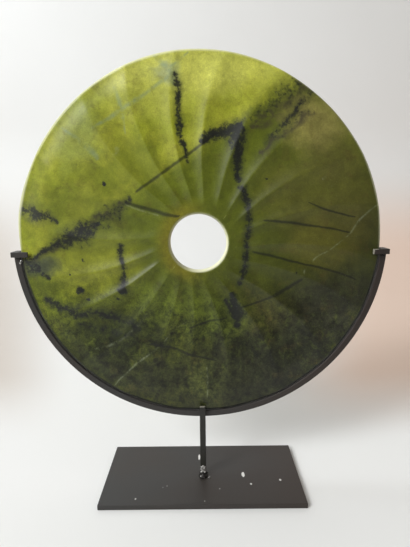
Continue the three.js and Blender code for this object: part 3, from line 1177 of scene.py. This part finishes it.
def weld_material(name, dull, bright, least_rough):
    """Weld metal in patches of dull and bright."""
    tree = Tree(name)
    place = tree.place(Vector((0, 0, 0)))
    tarnish = tree.noise(place, *TARNISH_NOISE)
    tone = tree.colour(tree.step(tarnish, *TARNISH_NOISE_STEP), dull, bright)
    tree.surface("Base Color", tone)
    rough = tree.math("MULTIPLY_ADD", tarnish, TARNISH_EXTRA_ROUGHNESS, least_rough)
    tree.surface("Roughness", rough)
    tree.surface("Metallic", WELD_METALLIC)
    tree.bump(tree.noise(place, *RIPPLE_NOISE), WELD_BUMP, WELD_BUMP_HEIGHT)
    return tree.material


def wear(piece, material):
    piece.data.materials.clear()
    piece.data.materials.append(material)


# ---------------------------------------------------------------- stage, light and camera

FLOOR_HALF_WIDTH = 4.0
FLOOR_FRONT = -3.0
SWEEP_START = 0.9
SWEEP_RADIUS = 0.6
WALL_TOP = 3.2
SWEEP_STEPS = 24

PAPER_LIGHT = rgb(230, 230, 228)
PAPER_LIGHTER = rgb(236, 236, 235)
# Painted shade: warm shadow at both sides behind the object.
PAPER_SHADOW_RIGHT = rgb(232, 208, 192)
PAPER_SHADE_LEFT = rgb(206, 198, 190)
# Painted shade on the paper in front of the object.
PAPER_SHADE_IN_FRONT = rgb(150, 149, 147)
PAPER_NOISE = (400, 2)
PAPER_ROUGHNESS = 0.9

# The paper's painted shadows are placed by how far sideways a spot lies for each millimetre that it
# lies behind this point in front of the object.
SHADES_FAN_FROM = 424
RIGHT_SHADOW_STEP = (0.12, 0.42)
LEFT_SHADE_STEP = (-0.3, -0.5)
BEHIND_STEP = (60, 300)
SIDE_SHADE_HEIGHT_STEP = (420, 60)
FRONT_SHADE_STEP = (-130, -480)


def paper_material():
    """Pale paper with painted warm shade at both sides behind the object and painted shade in front of
    it.

    The painted shade in front keeps the polished stone from mirroring a bright floor.
    """
    tree = Tree("pale_paper")
    still = tree.place(Vector((0, 0, 0)))
    tone = tree.colour(tree.noise(still, *PAPER_NOISE), PAPER_LIGHT, PAPER_LIGHTER)
    parts = tree.parts(still)
    sideways = tree.math("DIVIDE", parts["X"], tree.math("ADD", parts["Y"], SHADES_FAN_FROM))
    behind = tree.step(parts["Y"], *BEHIND_STEP)
    behind = tree.times(behind, tree.step(parts["Z"], *SIDE_SHADE_HEIGHT_STEP))
    # Painted warm shadow on the right and warm shade on the left.
    right = tree.times(tree.step(sideways, *RIGHT_SHADOW_STEP), behind)
    tone = tree.colour(right, tone, PAPER_SHADOW_RIGHT)
    left = tree.times(tree.step(sideways, *LEFT_SHADE_STEP), behind)
    tone = tree.colour(left, tone, PAPER_SHADE_LEFT)
    # Painted shade in front of the object.
    near = tree.step(parts["Y"], *FRONT_SHADE_STEP)
    tone = tree.colour(near, tone, PAPER_SHADE_IN_FRONT)
    tree.surface("Base Color", tone)
    tree.surface("Roughness", PAPER_ROUGHNESS)
    return tree.material


def make_stage():
    """A pale floor that sweeps up into a pale wall, well behind the object."""
    profile = [(FLOOR_FRONT, 0.0), (SWEEP_START, 0.0)]
    for step in range(1, SWEEP_STEPS + 1):
        angle = math.pi / 2 * step / SWEEP_STEPS
        profile.append((
            SWEEP_START + SWEEP_RADIUS * math.sin(angle),
            SWEEP_RADIUS * (1 - math.cos(angle)),
        ))
    profile.append((SWEEP_START + SWEEP_RADIUS, WALL_TOP))
    points = [(side * FLOOR_HALF_WIDTH, y, z) for y, z in profile for side in (-1, 1)]
    faces = [(2 * i, 2 * i + 1, 2 * i + 3, 2 * i + 2) for i in range(len(profile) - 1)]
    mesh = bpy.data.meshes.new("pale_floor")
    mesh.from_pydata(points, [], faces)
    shade_smooth(mesh)
    floor = bpy.data.objects.new("pale_floor", mesh)
    bpy.context.scene.collection.objects.link(floor)
    wear(floor, paper_material())


# Lights: place and target in metres, size, watts, tint.
WINDOW = ((-2.55, -2.45, 2.3), disc_centre, (1.4, 1.4), 144, (0.96, 0.985, 1.0))
WALL_WASH = ((-1.6, 0.3, 2.4), Vector((-0.5, 1.5, 1.1)), (1.0, 0.6), 20, (0.9, 0.96, 1.0))
ROOM_TINT = (1.0, 0.94, 0.87, 1)
# The room's brightness grows from 0.16 in front of the object to 0.66 behind it.
ROOM_RAMP = {"From Min": -0.9, "From Max": 0.4, "To Min": 0.16, "To Max": 0.66}


def add_area_light(name, place, target, size, power, tint):
    lamp = bpy.data.lights.new(name, "AREA")
    lamp.shape = "RECTANGLE"
    lamp.size, lamp.size_y = size
    lamp.energy = power
    lamp.color = tint
    light = bpy.data.objects.new(name, lamp)
    light.location = place
    light.rotation_euler = (target - Vector(place)).to_track_quat("-Z", "Y").to_euler()
    bpy.context.scene.collection.objects.link(light)


def make_room():
    """Soft light from all round, dimmer in front of the object than behind it."""
    world = bpy.data.worlds.new("soft_room")
    world.use_nodes = True
    nodes = world.node_tree.nodes
    links = world.node_tree.links
    source = nodes.new("ShaderNodeTexCoord")
    parts = nodes.new("ShaderNodeSeparateXYZ")
    links.new(source.outputs["Generated"], parts.inputs[0])
    ramp = nodes.new("ShaderNodeMapRange")
    for name, value in ROOM_RAMP.items():
        ramp.inputs[name].default_value = value
    links.new(parts.outputs["Y"], ramp.inputs["Value"])
    background = nodes["Background"]
    background.inputs["Color"].default_value = ROOM_TINT
    links.new(ramp.outputs["Result"], background.inputs["Strength"])
    bpy.context.scene.world = world


CAMERA_FROM_DISC = Vector((4.1, -420.4, 43.3)) * MM
CAMERA_LENS = 29.12
CAMERA_SENSOR = 36
CAMERA_SEES_FROM = 0.01
CAMERA_TILT_DOWN = 10.01
CAMERA_TURN_LEFT = -0.03
CAMERA_ROLL = -0.54


def make_camera():
    data = bpy.data.cameras.new("camera")
    data.lens = CAMERA_LENS
    data.sensor_width = CAMERA_SENSOR
    data.clip_start = CAMERA_SEES_FROM
    camera = bpy.data.objects.new("camera", data)
    turn = Matrix.Rotation(math.radians(CAMERA_TURN_LEFT), 4, "Z")
    tilt = Matrix.Rotation(math.radians(90 - CAMERA_TILT_DOWN), 4, "X")
    roll = Matrix.Rotation(math.radians(CAMERA_ROLL), 4, "Z")
    camera.matrix_world = Matrix.Translation(disc_centre + CAMERA_FROM_DISC) @ turn @ tilt @ roll
    bpy.context.scene.collection.objects.link(camera)
    bpy.context.scene.camera = camera
    bpy.context.scene.view_settings.view_transform = "Standard"


# ---------------------------------------------------------------- everything together

wear(make_disc(), jade_material())

# Pale bar tone: pale marks and a painted highlight.
pale_bar_steel = rgb(176, 172, 158)
bright_chip = rgb(236, 234, 230)
stem_cast_share = 0.6
ring_steel = steel_material("patinated_bar", disc_centre, bar_marks, pale_bar_steel)
stem_steel = steel_material("patinated_stem", disc_centre, bar_marks, pale_bar_steel, STEEL_GREEN,
                            stem_cast_share)
for piece in (make_ring(), make_end_clip("clip_left"), make_end_clip("clip_right")):
    wear(piece, ring_steel)
for piece in (make_stem(), make_saddle()):
    wear(piece, stem_steel)
plate_middle = (plate_low + plate_high) / 2
plate_middle.z = plate_high.z
wear(make_plate(), steel_material("patinated_plate", plate_middle, plate_marks, bright_chip))
make_welds()

make_stage()
add_area_light("window", *WINDOW)
add_area_light("wall_wash", *WALL_WASH)
make_room()
make_camera()
